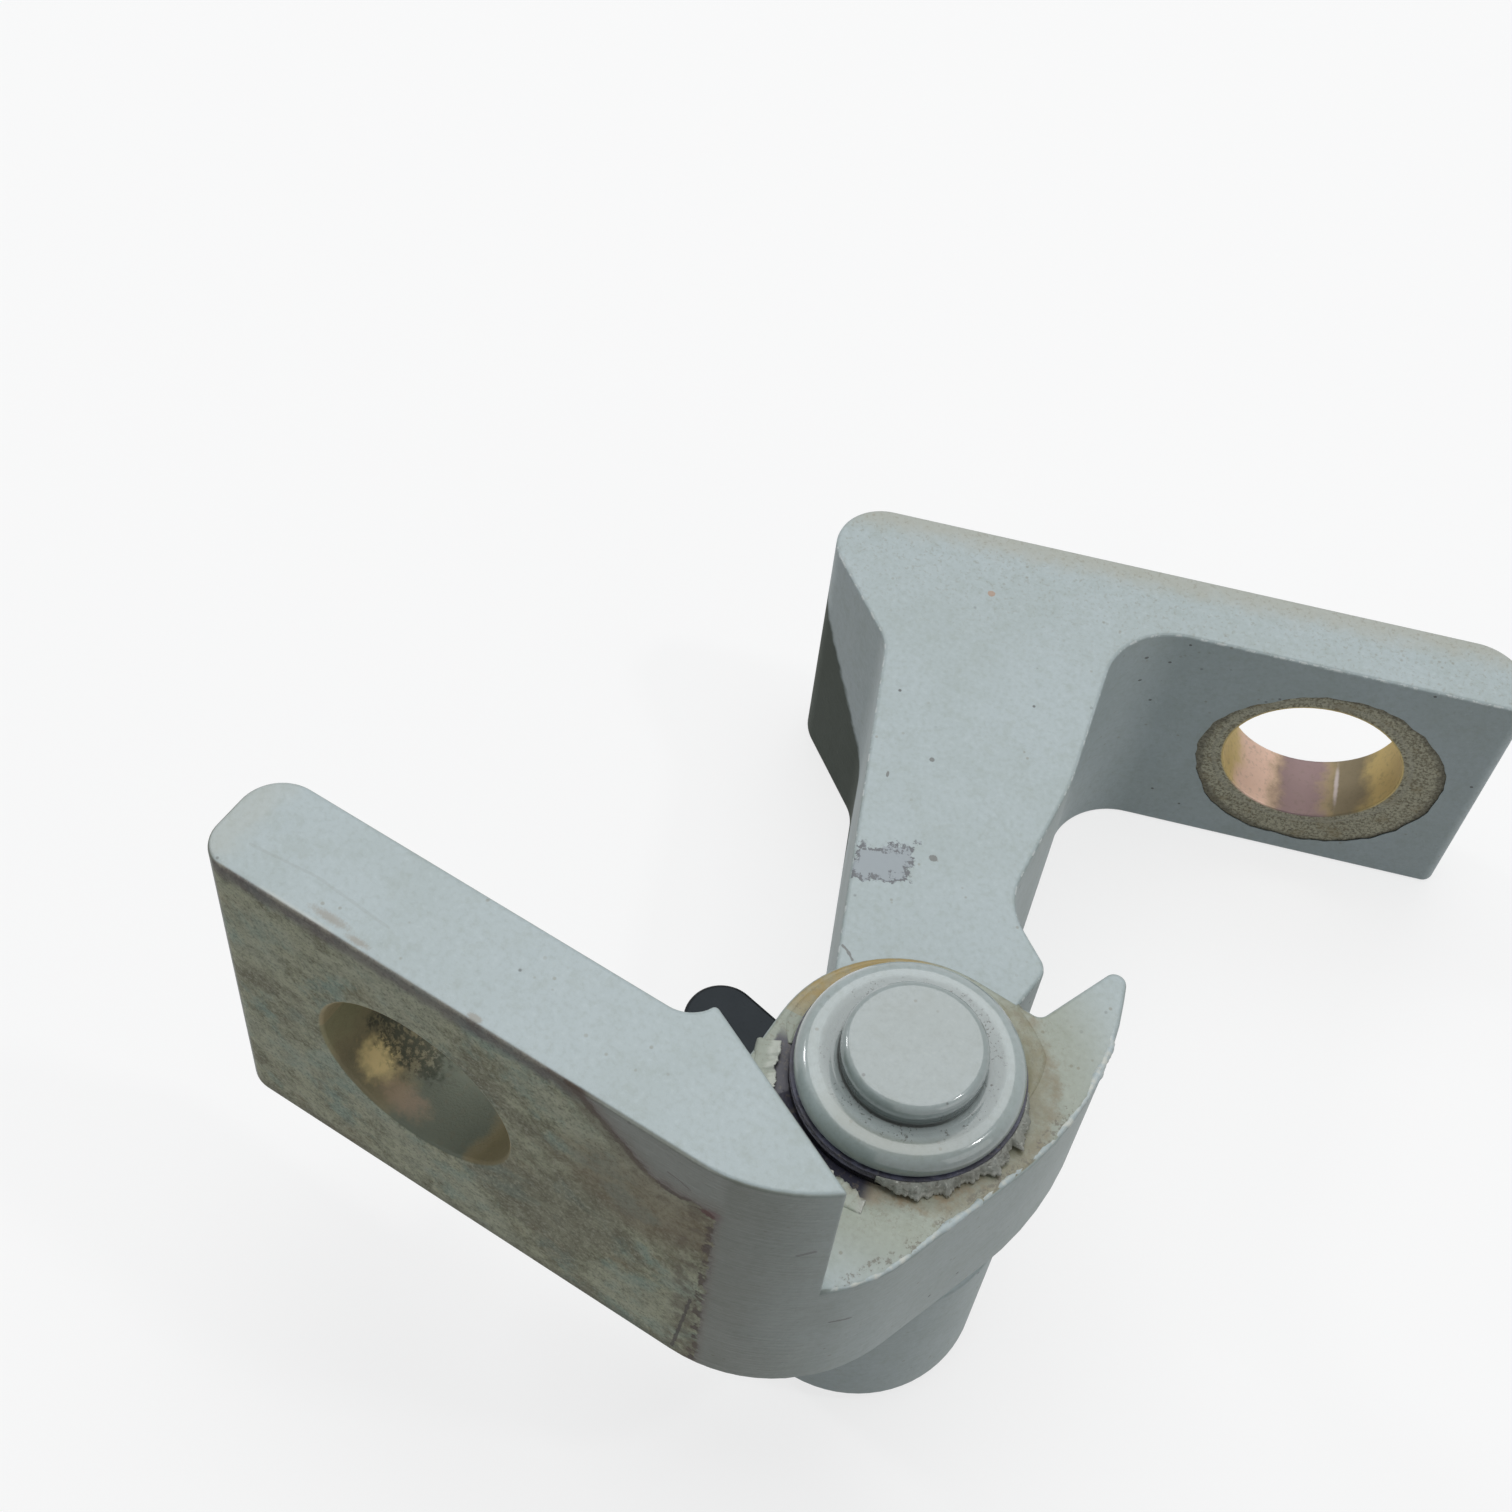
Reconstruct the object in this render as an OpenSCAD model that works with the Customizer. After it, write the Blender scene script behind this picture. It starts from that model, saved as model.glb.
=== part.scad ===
// Car door hinge with two steel leaves, a headed pin and two flanged bushes.
//
// Both leaves are slices sawn from a rolled bar, so each has one outline that is drawn once and
// extruded along Z. The pin axis is Z, and the origin lies on it, in the plane of the underside.
// The body leaf is bolted to the pillar. Its plate runs to -X and its mounting face looks to -Y.
// The door leaf stands at door_angle from +Y, and turns about the pin between the two stops.

/* [Pin] */
// Diameter of the pin's shank
pin_d = 8; // [7:0.5:9]
// Diameter of the small head on top of the pin
head_d = 10.1; // [9.6:0.1:11]
// Height of the small head above its washer
head_h = 2.1; // [1.8:0.1:2.8]
// Diameter of the thick washer under the head
washer_d = 16; // [14.5:0.1:17.5]
// Thickness of that washer
washer_t = 1.8; // [1.7:0.1:2.4]

/* [Bushes] */
// Wall of each bush
bush_wall = 1; // [0.8:0.1:1.4]
// Length of each sleeve inside the body leaf
bush_l = 6.4; // [4:0.1:6.8]
// Thickness of each bush's flange
bush_flange_t = 1.4; // [1:0.1:1.6]
// Diameter of each bush's flange
bush_flange_d = 16.4; // [15:0.1:17]
// Radial play between the pin and the bushes
pin_play = 0.03; // [0.02:0.01:0.08]

/* [Body leaf] */
// Thickness of the bolting plate
plate_t = 8; // [7:0.1:9]
// Height of the bolting plate
plate_h = 30.8; // [28:0.1:34]
// Height of the knuckle, which is the lower part of the leaf
knuckle_h = 15.4; // [14:0.1:17]
// Outer radius of the knuckle around the pin
knuckle_r = 10; // [9.8:0.1:10.4]
// Distance from the pin axis to the mounting face
mount_offset = 19.9; // [19.5:0.1:21]
// Distance from the pin axis to the plate's free end
plate_reach = 43.8; // [42:0.1:48]
// Lean of the curved front wall, from the plane of the plate
wall_lean = 71; // [69:1:73]
// Distance from the pin axis to the milled step above the knuckle
step_offset = 13.5; // [13:0.1:14]
// Slope of that step against the plate
step_slope = 25; // [23:0.1:27]

/* [Door leaf] */
// Angle of the arm from +Y as it stands
door_angle = 19.4; // [4:0.1:86]
// Height of the door leaf
door_h = 26.8; // [26:0.1:28]
// Thickness of the flange
flange_t = 6.6; // [6:0.1:7.2]
// Distance from the pin axis to the flange's outer face
flange_offset = 59; // [57:0.1:62]
// Length of the flange on its bolt hole's side, from the arm's middle
flange_reach = 45; // [42:0.1:47]
// Height of the knuckle around the pin's lower end
ring_h = 19; // [18:0.1:20]
// Outer radius of that knuckle
ring_r = 9.9; // [9.2:0.1:10.2]
// Play between the knuckle of the body leaf and the milled end of the arm
milled_play = 2.5; // [2.3:0.1:2.8]

/* [Bolt holes] */
// Diameter of the hole in each leaf, wide enough to set the door on its bolts
bolt_hole_d = 15.5; // [13:0.1:16]
// Distance from the pin axis to the hole in the body leaf
plate_hole_x = 27; // [26:0.1:29]
// Height of that hole above the middle of the plate
plate_hole_rise = 1.2; // [0:0.1:2]
// Distance from the arm's middle to the hole in the flange
flange_hole_u = 30; // [28:0.1:32]

/* [Hidden] */
eps = 0.01;
round_n = 96;
// Largest angle between two points of a rounded corner
arc_step = 5;
pin_r = pin_d / 2;
bush_r = pin_r + pin_play + bush_wall;
// Heights of the stack on the pin, from the underside up
knuckle_z = ring_h + bush_flange_t;
knuckle_top = knuckle_z + knuckle_h;
washer_z = knuckle_top + bush_flange_t;
head_z = washer_z + washer_t;
plate_top = knuckle_z + plate_h;
// The pin ends flush with the underside, and its end is chamfered
pin_chamfer = 0.6;
// Rounded edges of the washer and the head, and the shallow seat round the head
washer_edge_r = 1.1;
washer_foot_r = 0.5;
head_edge_r = 0.7;
seat_r = head_d / 2 + 1.05;
seat_depth = 0.3;
// Bend of the body leaf's profile, where the plate turns into the knuckle
bend_r = 13;
plate_back = mount_offset - plate_t;
// Rounded corners of the plate's free end, outer and inner, and the fillet behind the knuckle
end_outer_r = 2.4;
end_inner_r = 3.2;
fillet_r = 2.6;
// Opening stop, the horn: slopes of its two flanks and a point on each
horn_outer_slope = 110;
horn_inner_slope = 68.6;
horn_outer = [9.95, 13.7];
horn_root = [5.4, knuckle_r - 0.35];
// Radii of the long curve from the front wall into the horn, of its tip and of its root
horn_flank_r = 25;
horn_tip_r = 0.85;
horn_root_r = 0.8;
// Arm of the door leaf, from its root in the knuckle to the flange: left side, right side
arm_left = [-5.8, 0];
arm_right = [3, 3.5];
// Shoulder that meets the horn, the waist behind it, and the foot of the arm's widening
shoulder = [9, 16.9, 1.6];
arm_waist = [5.1, 22, 5.5];
arm_flare = [8.3, 34.6, 20];
flange_fillet = [10.2, 6.3];
// Rounded corners of the flange's two ends
flange_inner_r = 1.1;
flange_outer_r = 4.8;
stub_end_r = 4.2;
// Slanted end on the arm's left: the foot of the slant on the arm, its radius and its slope
stub_foot = [-9.05, 44.7, 4.5];
stub_slope = 125.5;
// Lug beside the arm: middle and radius of its round end, its slope, and its length to the root
lug_c = [-14.5, 10.6];
lug_r = 3;
lug_slope = -30;
lug_root = 11;
// Chamfer at the foot of the lower knuckle
ring_chamfer = 1.4;
// Allowance by which a cutter stands past the faces that it cuts through
past = 1;

// Direction at an angle
function dir(a) = [cos(a), sin(a)];
function unit(v) = v / norm(v);
function turn(a, b) = a.x * b.y - a.y * b.x;
// Crossing of the line through p along d with the line through q along e
function cross_point(p, d, q, e) = p + d * turn(q - p, e) / turn(d, e);

// An angle brought into the span from -180 to 180
function wrapped(a) = a - 360 * floor((a + 180) / 360);

// Points along an arc, ends included
function arc(centre, r, from, sweep) =
    let (steps = max(2, ceil(abs(sweep) / arc_step)))
    [for (i = [0:steps]) centre + r * dir(from + sweep * i / steps)];

// Points of one corner at p, rounded to radius r, between its edges towards a and b
function rounded_corner(p, a, b, r) =
    let (
        da = unit(a - p),
        db = unit(b - p),
        half = acos(da * db) / 2,
        centre = p + unit(da + db) * r / sin(half),
        start = p + da * r / tan(half) - centre,
        end = p + db * r / tan(half) - centre,
        from = atan2(start.y, start.x),
        sweep = wrapped(atan2(end.y, end.x) - from)
    )
    arc(centre, r, from, sweep);

// Place of a corner, counted round the outline
function corner_at(corners, i) =
    let (c = corners[(i + len(corners)) % len(corners)])
    [c.x, c.y];

// Points of an outline from its corners, counterclockwise, each as [x, y, radius]
function rounded(corners) = [
    for (i = [0:len(corners) - 1])
        let (
            p = corner_at(corners, i),
            before = corner_at(corners, i - 1),
            after = corner_at(corners, i + 1),
            r = corners[i][2]
        )
        each r == 0 ? [p] : rounded_corner(p, before, after, r)
];

// A slice of a flat outline between two heights
module slice(z0, z1) {
    translate([0, 0, z0])
        linear_extrude(z1 - z0)
            children();
}

// Section of the body leaf: plate, bend, knuckle and horn
module body_section() {
    wall_normal = dir(wall_lean - 90);
    wall_foot = wall_normal * knuckle_r;
    bend = cross_point(wall_foot, dir(wall_lean), [0, -mount_offset], [1, 0]);
    waist = cross_point(wall_foot, dir(wall_lean), horn_outer, dir(horn_outer_slope));
    tip = cross_point(horn_outer, dir(horn_outer_slope), horn_root, dir(horn_inner_slope));
    polygon(rounded([
        [-plate_reach, -mount_offset, end_outer_r],
        [bend.x, bend.y, bend_r],
        [waist.x, waist.y, horn_flank_r],
        [tip.x, tip.y, horn_tip_r],
        [horn_root.x, horn_root.y, horn_root_r],
        [-knuckle_r, knuckle_r, knuckle_r],
        [-knuckle_r, -plate_back, fillet_r],
        [-plate_reach, -plate_back, end_inner_r]
    ]));
}

// Section of the door leaf, with the arm along +Y and the flange across it
module door_section() {
    flange_front = flange_offset - flange_t;
    foot = [stub_foot.x, stub_foot.y];
    stub_end = cross_point(foot, dir(stub_slope), [0, flange_offset], [1, 0]);
    polygon(rounded([
        [arm_left.x, arm_left.y, 0],
        [arm_right.x, arm_right.y, 0],
        shoulder,
        arm_waist,
        arm_flare,
        [flange_fillet.x, flange_front, flange_fillet.y],
        [flange_reach, flange_front, flange_inner_r],
        [flange_reach, flange_offset, flange_outer_r],
        [stub_end.x, stub_end.y, stub_end_r],
        stub_foot
    ]));
}

// The lug is a finger with a round end that grows out of the lower knuckle
module lug_section() {
    translate(lug_c)
        rotate(lug_slope)
            polygon(rounded([
                [-lug_r, -lug_r, lug_r - eps],
                [lug_root, -lug_r, 0],
                [lug_root, lug_r, 0],
                [-lug_r, lug_r, lug_r - eps]
            ]));
}

module body_leaf() {
    color("lightsteelblue")
    difference() {
        slice(knuckle_z, plate_top)
            body_section();
        // The milled step takes the upper part away over the knuckle
        translate([0, 0, knuckle_top])
            rotate([0, 0, -step_slope])
                translate([-plate_reach, -step_offset, 0])
                    cube([2 * plate_reach, plate_reach, plate_h]);
        // Bore for the two bushes
        translate([0, 0, knuckle_z - past])
            cylinder(h = knuckle_h + 2 * past, r = bush_r, $fn = round_n);
        // Bolt hole
        translate([-plate_hole_x, past - plate_back, knuckle_z + plate_h / 2 + plate_hole_rise])
            rotate([90, 0, 0])
                cylinder(h = plate_t + 2 * past, d = bolt_hole_d, $fn = round_n);
    }
}

module door_leaf() {
    color("lightsteelblue")
    rotate([0, 0, door_angle])
    difference() {
        union() {
            slice(0, door_h)
                door_section();
            slice(0, ring_h)
                lug_section();
            cylinder(h = ring_chamfer, r1 = ring_r - ring_chamfer, r2 = ring_r, $fn = round_n);
            translate([0, 0, ring_chamfer])
                cylinder(h = ring_h - ring_chamfer, r = ring_r, $fn = round_n);
        }
        // The upper part of the arm is milled away round the body leaf's knuckle
        translate([0, 0, ring_h])
            cylinder(h = door_h, r = knuckle_r + milled_play, $fn = round_n);
        // Press-fit hole for the pin
        translate([0, 0, -past])
            cylinder(h = ring_h + 2 * past, r = pin_r, $fn = round_n);
        // Bolt hole
        translate([flange_hole_u, flange_offset + past, door_h / 2])
            rotate([90, 0, 0])
                cylinder(h = flange_t + 2 * past, d = bolt_hole_d, $fn = round_n);
    }
}

module hinge_pin() {
    color("lightsteelblue")
    rotate_extrude($fn = round_n)
        polygon(rounded([
            [0, 0, 0],
            [pin_r - pin_chamfer, 0, 0],
            [pin_r, pin_chamfer, 0],
            [pin_r, head_z - seat_depth, 0],
            [head_d / 2, head_z - seat_depth, 0],
            [head_d / 2, head_z + head_h, head_edge_r],
            [0, head_z + head_h, 0]
        ]));
}

module head_washer() {
    color("lightsteelblue")
    rotate_extrude($fn = round_n)
        polygon(rounded([
            [pin_r, washer_z, 0],
            [washer_d / 2, washer_z, washer_foot_r],
            [washer_d / 2, head_z, washer_edge_r],
            [seat_r, head_z, 0],
            [seat_r, head_z - seat_depth, 0],
            [pin_r, head_z - seat_depth, 0]
        ]));
}

// A flanged bush whose flange lies on the face at z, with the sleeve going into the leaf
module flanged_bush(z, way) {
    color("dimgray")
    translate([0, 0, z])
    rotate([way > 0 ? 0 : 180, 0, 0])
    difference() {
        union() {
            cylinder(h = bush_flange_t, d = bush_flange_d, $fn = round_n);
            translate([0, 0, -bush_l])
                cylinder(h = bush_l + eps, r = bush_r, $fn = round_n);
        }
        translate([0, 0, -bush_l - past])
            cylinder(h = bush_l + bush_flange_t + 2 * past, r = pin_r + pin_play, $fn = round_n);
    }
}

module upper_bush() {
    flanged_bush(knuckle_top, 1);
}

module lower_bush() {
    flanged_bush(knuckle_z, -1);
}

body_leaf();
door_leaf();
hinge_pin();
head_washer();
upper_bush();
lower_bush();
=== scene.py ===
# %% [markdown]
# # A car door hinge, dressed in Blender
# The part comes packed as six solids: two steel leaves, a headed pin, a thick washer and two
# flanged bushes. They are loaded as a fixed frame, and each visible piece is made on top of it.
# Everything is in metres, with the pin along Z and the underside at height zero.

# %% Load the frame
import math
import random
import bmesh
import bpy
from mathutils import Matrix, Vector


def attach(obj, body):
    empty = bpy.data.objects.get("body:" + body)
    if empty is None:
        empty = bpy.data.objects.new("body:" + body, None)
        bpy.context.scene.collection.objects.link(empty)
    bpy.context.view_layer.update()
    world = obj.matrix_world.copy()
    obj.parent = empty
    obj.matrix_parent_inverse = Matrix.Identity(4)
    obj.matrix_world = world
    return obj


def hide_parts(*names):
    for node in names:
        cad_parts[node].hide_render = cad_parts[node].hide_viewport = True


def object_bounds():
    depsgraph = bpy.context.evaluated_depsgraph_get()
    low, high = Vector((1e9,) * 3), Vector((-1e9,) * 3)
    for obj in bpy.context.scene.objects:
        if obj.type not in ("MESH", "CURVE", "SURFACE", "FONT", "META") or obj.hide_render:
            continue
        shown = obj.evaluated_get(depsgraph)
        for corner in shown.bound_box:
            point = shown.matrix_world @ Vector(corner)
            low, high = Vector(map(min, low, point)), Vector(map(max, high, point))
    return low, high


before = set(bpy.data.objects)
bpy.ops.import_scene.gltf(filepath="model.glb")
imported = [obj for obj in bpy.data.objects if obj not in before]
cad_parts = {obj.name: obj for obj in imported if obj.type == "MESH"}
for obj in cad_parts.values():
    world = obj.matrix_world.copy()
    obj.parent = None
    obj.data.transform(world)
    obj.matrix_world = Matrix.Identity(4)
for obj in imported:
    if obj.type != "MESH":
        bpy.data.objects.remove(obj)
cad_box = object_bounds()
MM = 0.001

# %% [markdown]
# ## The camera
# The photograph was solved for its camera with the corners and holes of the hinge: the lens,
# the place and the turn below put the solids where the photograph has them. Blender's own
# camera tools could aim at the part, but a measured turn keeps the exact viewing angle.

# %% Camera
LENS_MM = 54.32
CAMERA_PLACE_MM = (20.942, -72.528, 175.584)
CAMERA_TURN_DEG = (35.2852, -4.3880, 32.3514)


def add_camera():
    lens = bpy.data.cameras.new("camera")
    lens.lens = LENS_MM
    lens.sensor_width = 36.0
    lens.clip_start = 0.01
    holder = bpy.data.objects.new("camera", lens)
    holder.location = [value * MM for value in CAMERA_PLACE_MM]
    holder.rotation_euler = [math.radians(value) for value in CAMERA_TURN_DEG]
    bpy.context.scene.collection.objects.link(holder)
    bpy.context.scene.camera = holder
    return holder


camera = add_camera()
print("camera", camera.location, "lens", camera.data.lens)

# %% [markdown]
# ## Shader arithmetic
# A material here is a sum of masks. Written as nodes that is long, so a small class wraps a
# socket and lets Python's operators add the Math nodes. One method of the recipe class adds
# every other node: its type, its settings, and then what goes into its sockets.

# %% Wires and recipes


def linear(hex_colour):
    """A colour written as #RRGGBB, as the linear values that Blender mixes."""
    parts = [int(hex_colour[place:place + 2], 16) / 255 for place in (1, 3, 5)]
    curved = [part / 12.92 if part < 0.04045 else ((part + 0.055) / 1.055) ** 2.4
              for part in parts]
    return tuple(curved + [1.0])


COAT_ROUGHNESS = 0.06


class Wire:
    """A number that changes over the surface, with Python's arithmetic."""

    def __init__(self, recipe, socket):
        self.recipe = recipe
        self.socket = socket

    def maths(self, operation, *values, clamp=False):
        inputs = dict(enumerate([self, *values]))
        settings = {"operation": operation, "use_clamp": clamp}
        return self.recipe.node("ShaderNodeMath", settings, inputs)

    def reflected(self, operation, value):
        settings = {"operation": operation}
        return self.recipe.node("ShaderNodeMath", settings, {0: value, 1: self})

    def __add__(self, other):
        return self.maths("ADD", other)

    def __sub__(self, other):
        return self.maths("SUBTRACT", other)

    def __mul__(self, other):
        return self.maths("MULTIPLY", other)

    def __truediv__(self, other):
        return self.maths("DIVIDE", other)

    def __radd__(self, other):
        return self.maths("ADD", other)

    def __rsub__(self, other):
        return self.reflected("SUBTRACT", other)

    def __rmul__(self, other):
        return self.maths("MULTIPLY", other)

    def __rtruediv__(self, other):
        return self.reflected("DIVIDE", other)

    def above(self, low, high):
        """0 up to low, 1 from high on, and smooth between them."""
        settings = {"interpolation_type": "SMOOTHSTEP"}
        inputs = {"Value": self, "From Min": low, "From Max": high}
        return self.recipe.node("ShaderNodeMapRange", settings, inputs)

    def below(self, low, high):
        """1 up to low, 0 from high on."""
        return 1.0 - self.above(low, high)

    def between(self, low, high, soft):
        return self.above(low - soft, low + soft) * self.below(high - soft, high + soft)

    def clamped(self):
        return self.maths("ADD", 0.0, clamp=True)

    def highest(self, other):
        return self.maths("MAXIMUM", other)

    def lowest(self, other):
        return self.maths("MINIMUM", other)

    def size(self):
        return self.maths("ABSOLUTE")

    def root(self):
        return self.maths("SQRT")


class Recipe:
    """The nodes of one finish."""

    def __init__(self, name):
        self.material = bpy.data.materials.new(name)
        self.material.use_nodes = True
        self.tree = self.material.node_tree
        self.tree.nodes.clear()
        self.shared = {}

    def node(self, kind, settings=None, inputs=None, take=0):
        """Add one node: its settings first, then its sockets. take names the output to use."""
        made = self.tree.nodes.new(kind)
        for key, value in (settings or {}).items():
            setattr(made, key, value)
        for key, value in (inputs or {}).items():
            self.feed(self.find(made.inputs, key), value)
        return None if take is None else Wire(self, self.find(made.outputs, take))

    @staticmethod
    def find(sockets, key):
        if isinstance(key, int):
            return sockets[key]
        for socket in sockets:
            if socket.enabled and key in (socket.identifier, socket.name):
                return socket
        raise KeyError(key)

    def feed(self, socket, value):
        """Link a wire, or set a value. A colour may come as #RRGGBB."""
        if isinstance(value, Wire):
            self.tree.links.new(value.socket, socket)
        else:
            socket.default_value = linear(value) if isinstance(value, str) else value

    def place(self):
        """The point on the piece, in millimetres of the part's frame."""
        if "place" not in self.shared:
            raw = self.node("ShaderNodeTexCoord", take="Object")
            settings = {"operation": "SCALE"}
            self.shared["place"] = self.node(
                "ShaderNodeVectorMath", settings, {"Vector": raw, "Scale": 1 / MM})
        return self.shared["place"]

    def axes(self, vector, key):
        """The three numbers of a vector."""
        if key not in self.shared:
            first = self.node("ShaderNodeSeparateXYZ", None, {"Vector": vector})
            node = first.socket.node
            self.shared[key] = [Wire(self, socket) for socket in node.outputs]
        return self.shared[key]

    def xyz(self):
        return self.axes(self.place(), "xyz")

    def level(self):
        """The surface's own direction along Z: 1 on a top face, 0 on a wall, -1 below."""
        if "facing" not in self.shared:
            self.axes(self.node("ShaderNodeTexCoord", take="Normal"), "facing")
        return self.shared["facing"][2]

    def stretched(self, x, y, z):
        """The place, with each axis scaled by its own number."""
        settings = {"operation": "MULTIPLY"}
        return self.node("ShaderNodeVectorMath", settings, {0: self.place(), 1: (x, y, z)})

    def moved(self, seed, place=None):
        """The place, moved away by the seed, so that two noises never look alike."""
        settings = {"operation": "ADD"}
        inputs = {0: place or self.place(), 1: (seed * 31.7, seed * 17.3, seed * 23.9)}
        return self.node("ShaderNodeVectorMath", settings, inputs)

    def grain(self, size, detail=2.0, rough=0.5, seed=0.0, place=None, warp=0.0):
        """Cloudy noise, whose clouds are about size millimetres wide."""
        inputs = {"Vector": self.moved(seed, place), "Scale": 1 / size,
                  "Detail": detail, "Roughness": rough, "Distortion": warp}
        return self.node("ShaderNodeTexNoise", {"noise_dimensions": "3D"}, inputs, "Fac")

    def cells(self, size, seed):
        """Distance to scattered points, about size millimetres apart."""
        inputs = {"Vector": self.moved(seed), "Scale": 1 / size}
        settings = {"voronoi_dimensions": "3D", "feature": "F1"}
        return self.node("ShaderNodeTexVoronoi", settings, inputs, "Distance")

    def mix(self, mask, under, over, blend="MIX"):
        """One colour over another, where the mask is 1."""
        settings = {"data_type": "RGBA", "blend_type": blend}
        inputs = {"Factor_Float": mask, "A_Color": under, "B_Color": over}
        return self.node("ShaderNodeMix", settings, inputs, "Result_Color")

    def tint(self, mask, under, over):
        """A glaze: one colour multiplied by another, where the mask is 1."""
        return self.mix(mask, under, over, "MULTIPLY")

    def close(self, shader, kind="ShaderNodeOutputMaterial"):
        """Lead a shader to the output."""
        self.node(kind, None, {"Surface": shader}, take=None)
        return self.material

    def finish(self, colour, roughness, height, depth_mm, metallic=0.0, coat=0.0):
        """The usual shader. The height's bump is depth_mm deep where the height is 1."""
        bump = {"Height": height, "Distance": depth_mm * MM, "Strength": 1.0}
        inputs = {"Base Color": colour, "Roughness": roughness, "Metallic": metallic,
                  "Coat Weight": coat, "Coat Roughness": COAT_ROUGHNESS,
                  "Normal": self.node("ShaderNodeBump", None, bump)}
        return self.close(self.node("ShaderNodeBsdfPrincipled", None, inputs))


print("mid grey in linear values", [round(part, 3) for part in linear("#808080")])

# %% [markdown]
# ## Masks by place
# Wear on a real part sits in one place: a stain beside the pin, a scratch on the arm. Each is
# a mask, which is 1 inside the mark and 0 outside, made from the distance to a point, to a
# line of points, or to an edge. Noise is added to the distance, so no outline is clean.

# %% Masks


def far_from(a, b, centre):
    """Distance from a point, in the plane of two coordinates."""
    da, db = a - centre[0], b - centre[1]
    return (da * da + db * db).root()


def patch(recipe, a, b, centre, radii, ragged=0.25, seed=0.0, soft=0.12):
    """A ragged oval: 1 inside it."""
    da, db = (a - centre[0]) / radii[0], (b - centre[1]) / radii[1]
    torn = recipe.grain(0.5 * min(radii), 2.0, 0.6, seed) - 0.5
    return ((da * da + db * db).root() + torn * ragged * 2.0).below(1.0 - soft, 1.0 + soft)


def stroke(recipe, a, b, points, width, seed=0.0, wander=0.3):
    """A thin wandering line through the points: 1 on the line."""
    torn = (recipe.grain(0.6, 2.0, 0.6, seed) - 0.5) * wander * 2.0
    nearest = None
    for (a0, b0), (a1, b1) in zip(points, points[1:]):
        ea, eb = a1 - a0, b1 - b0
        length = ea * ea + eb * eb
        along = (((a - a0) * ea + (b - b0) * eb) / length).clamped()
        da, db = a - a0 - along * ea, b - b0 - along * eb
        gap = (da * da + db * db).root()
        nearest = gap if nearest is None else nearest.lowest(gap)
    return (nearest + torn * width * 2.0).below(width * 0.5, width * 1.1)


def turn_about(a, b):
    """The angle round a point, in degrees from -180 to 180."""
    return b.maths("ARCTAN2", a) * (180 / math.pi)


print("masks ready")

# %% [markdown]
# ## Pieces from the solids
# The leaves keep the shape of their solids, but real steel has no razor edges, least of all
# under paint. Each solid's mesh is copied, its split corners are joined again, its flat faces
# are made whole, and every sharp edge gets a real rounding, so that it catches the light.

# %% Copy and round a solid
PAINTED_EDGE_MM = 0.36
SHARP_DEG = 28
FLAT_DEG = 0.5
CLEAR_MM = 0.7


def joined_copy(node):
    work = bmesh.new()
    work.from_mesh(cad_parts[node].data)
    bmesh.ops.remove_doubles(work, verts=work.verts, dist=0.002 * MM)
    bmesh.ops.dissolve_limit(
        work, angle_limit=math.radians(FLAT_DEG), verts=work.verts, edges=work.edges)
    return work


def upright(edge):
    first, second = (vert.co for vert in edge.verts)
    return (first.xy - second.xy).length < 0.001 * MM


def clear_beside_corners(work):
    """Take out the facet lines that lie so near an upright corner that its rounding meets them."""
    turned = {edge: edge.calc_face_angle(0) for edge in work.edges if upright(edge)}
    corners = [edge.verts[0].co.xy for edge, angle in turned.items()
               if angle > math.radians(SHARP_DEG)]
    near = [edge for edge, angle in turned.items() if angle <= math.radians(SHARP_DEG)
            and any((edge.verts[0].co.xy - spot).length < CLEAR_MM * MM for spot in corners)]
    bmesh.ops.dissolve_edges(work, edges=near, use_verts=True)
    return len(near)


def round_edges(work, width_mm, segments=3):
    cleared = clear_beside_corners(work)
    sharp = [edge for edge in work.edges
             if edge.is_convex and edge.calc_face_angle(0) > math.radians(SHARP_DEG)]
    bmesh.ops.bevel(work, geom=sharp, offset=width_mm * MM, offset_type="OFFSET",
                    segments=segments, profile=0.5, affect="EDGES", clamp_overlap=False)
    print("rounded", len(sharp), "edges, cleared", cleared)


def add_piece(name, work, body, material, node=None):
    mesh = bpy.data.meshes.new(name)
    bmesh.ops.recalc_face_normals(work, faces=work.faces)
    work.to_mesh(mesh)
    work.free()
    for polygon in mesh.polygons:
        polygon.use_smooth = True
    mesh.materials.append(material)
    piece = bpy.data.objects.new(name, mesh)
    bpy.context.scene.collection.objects.link(piece)
    weighted = piece.modifiers.new("weighted", "WEIGHTED_NORMAL")
    weighted.weight = 50
    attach(piece, body)
    if node:
        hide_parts(node)
    print(name, len(mesh.polygons), "faces")
    return piece


# %% [markdown]
# ## Paint and zinc
# Two finishes cover nearly everything: pale grey-blue paint, sprayed when the hinge was on the
# car, and old zinc where it was bolted down. Both are mixed from a few colours by cloudy noise
# of several sizes, because one size alone looks like a pattern.

# %% Paint and zinc
PAINT = "#ACB8BA"


def dots(recipe, spacing, share, seed, where):
    """Small specks about spacing millimetres apart, kept only where the second noise is high."""
    inside = recipe.cells(spacing, seed).below(share * 0.5, share)
    return inside * recipe.grain(spacing * 4.0, 2.0, seed=seed + 0.5).above(where, where + 0.12)


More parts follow.
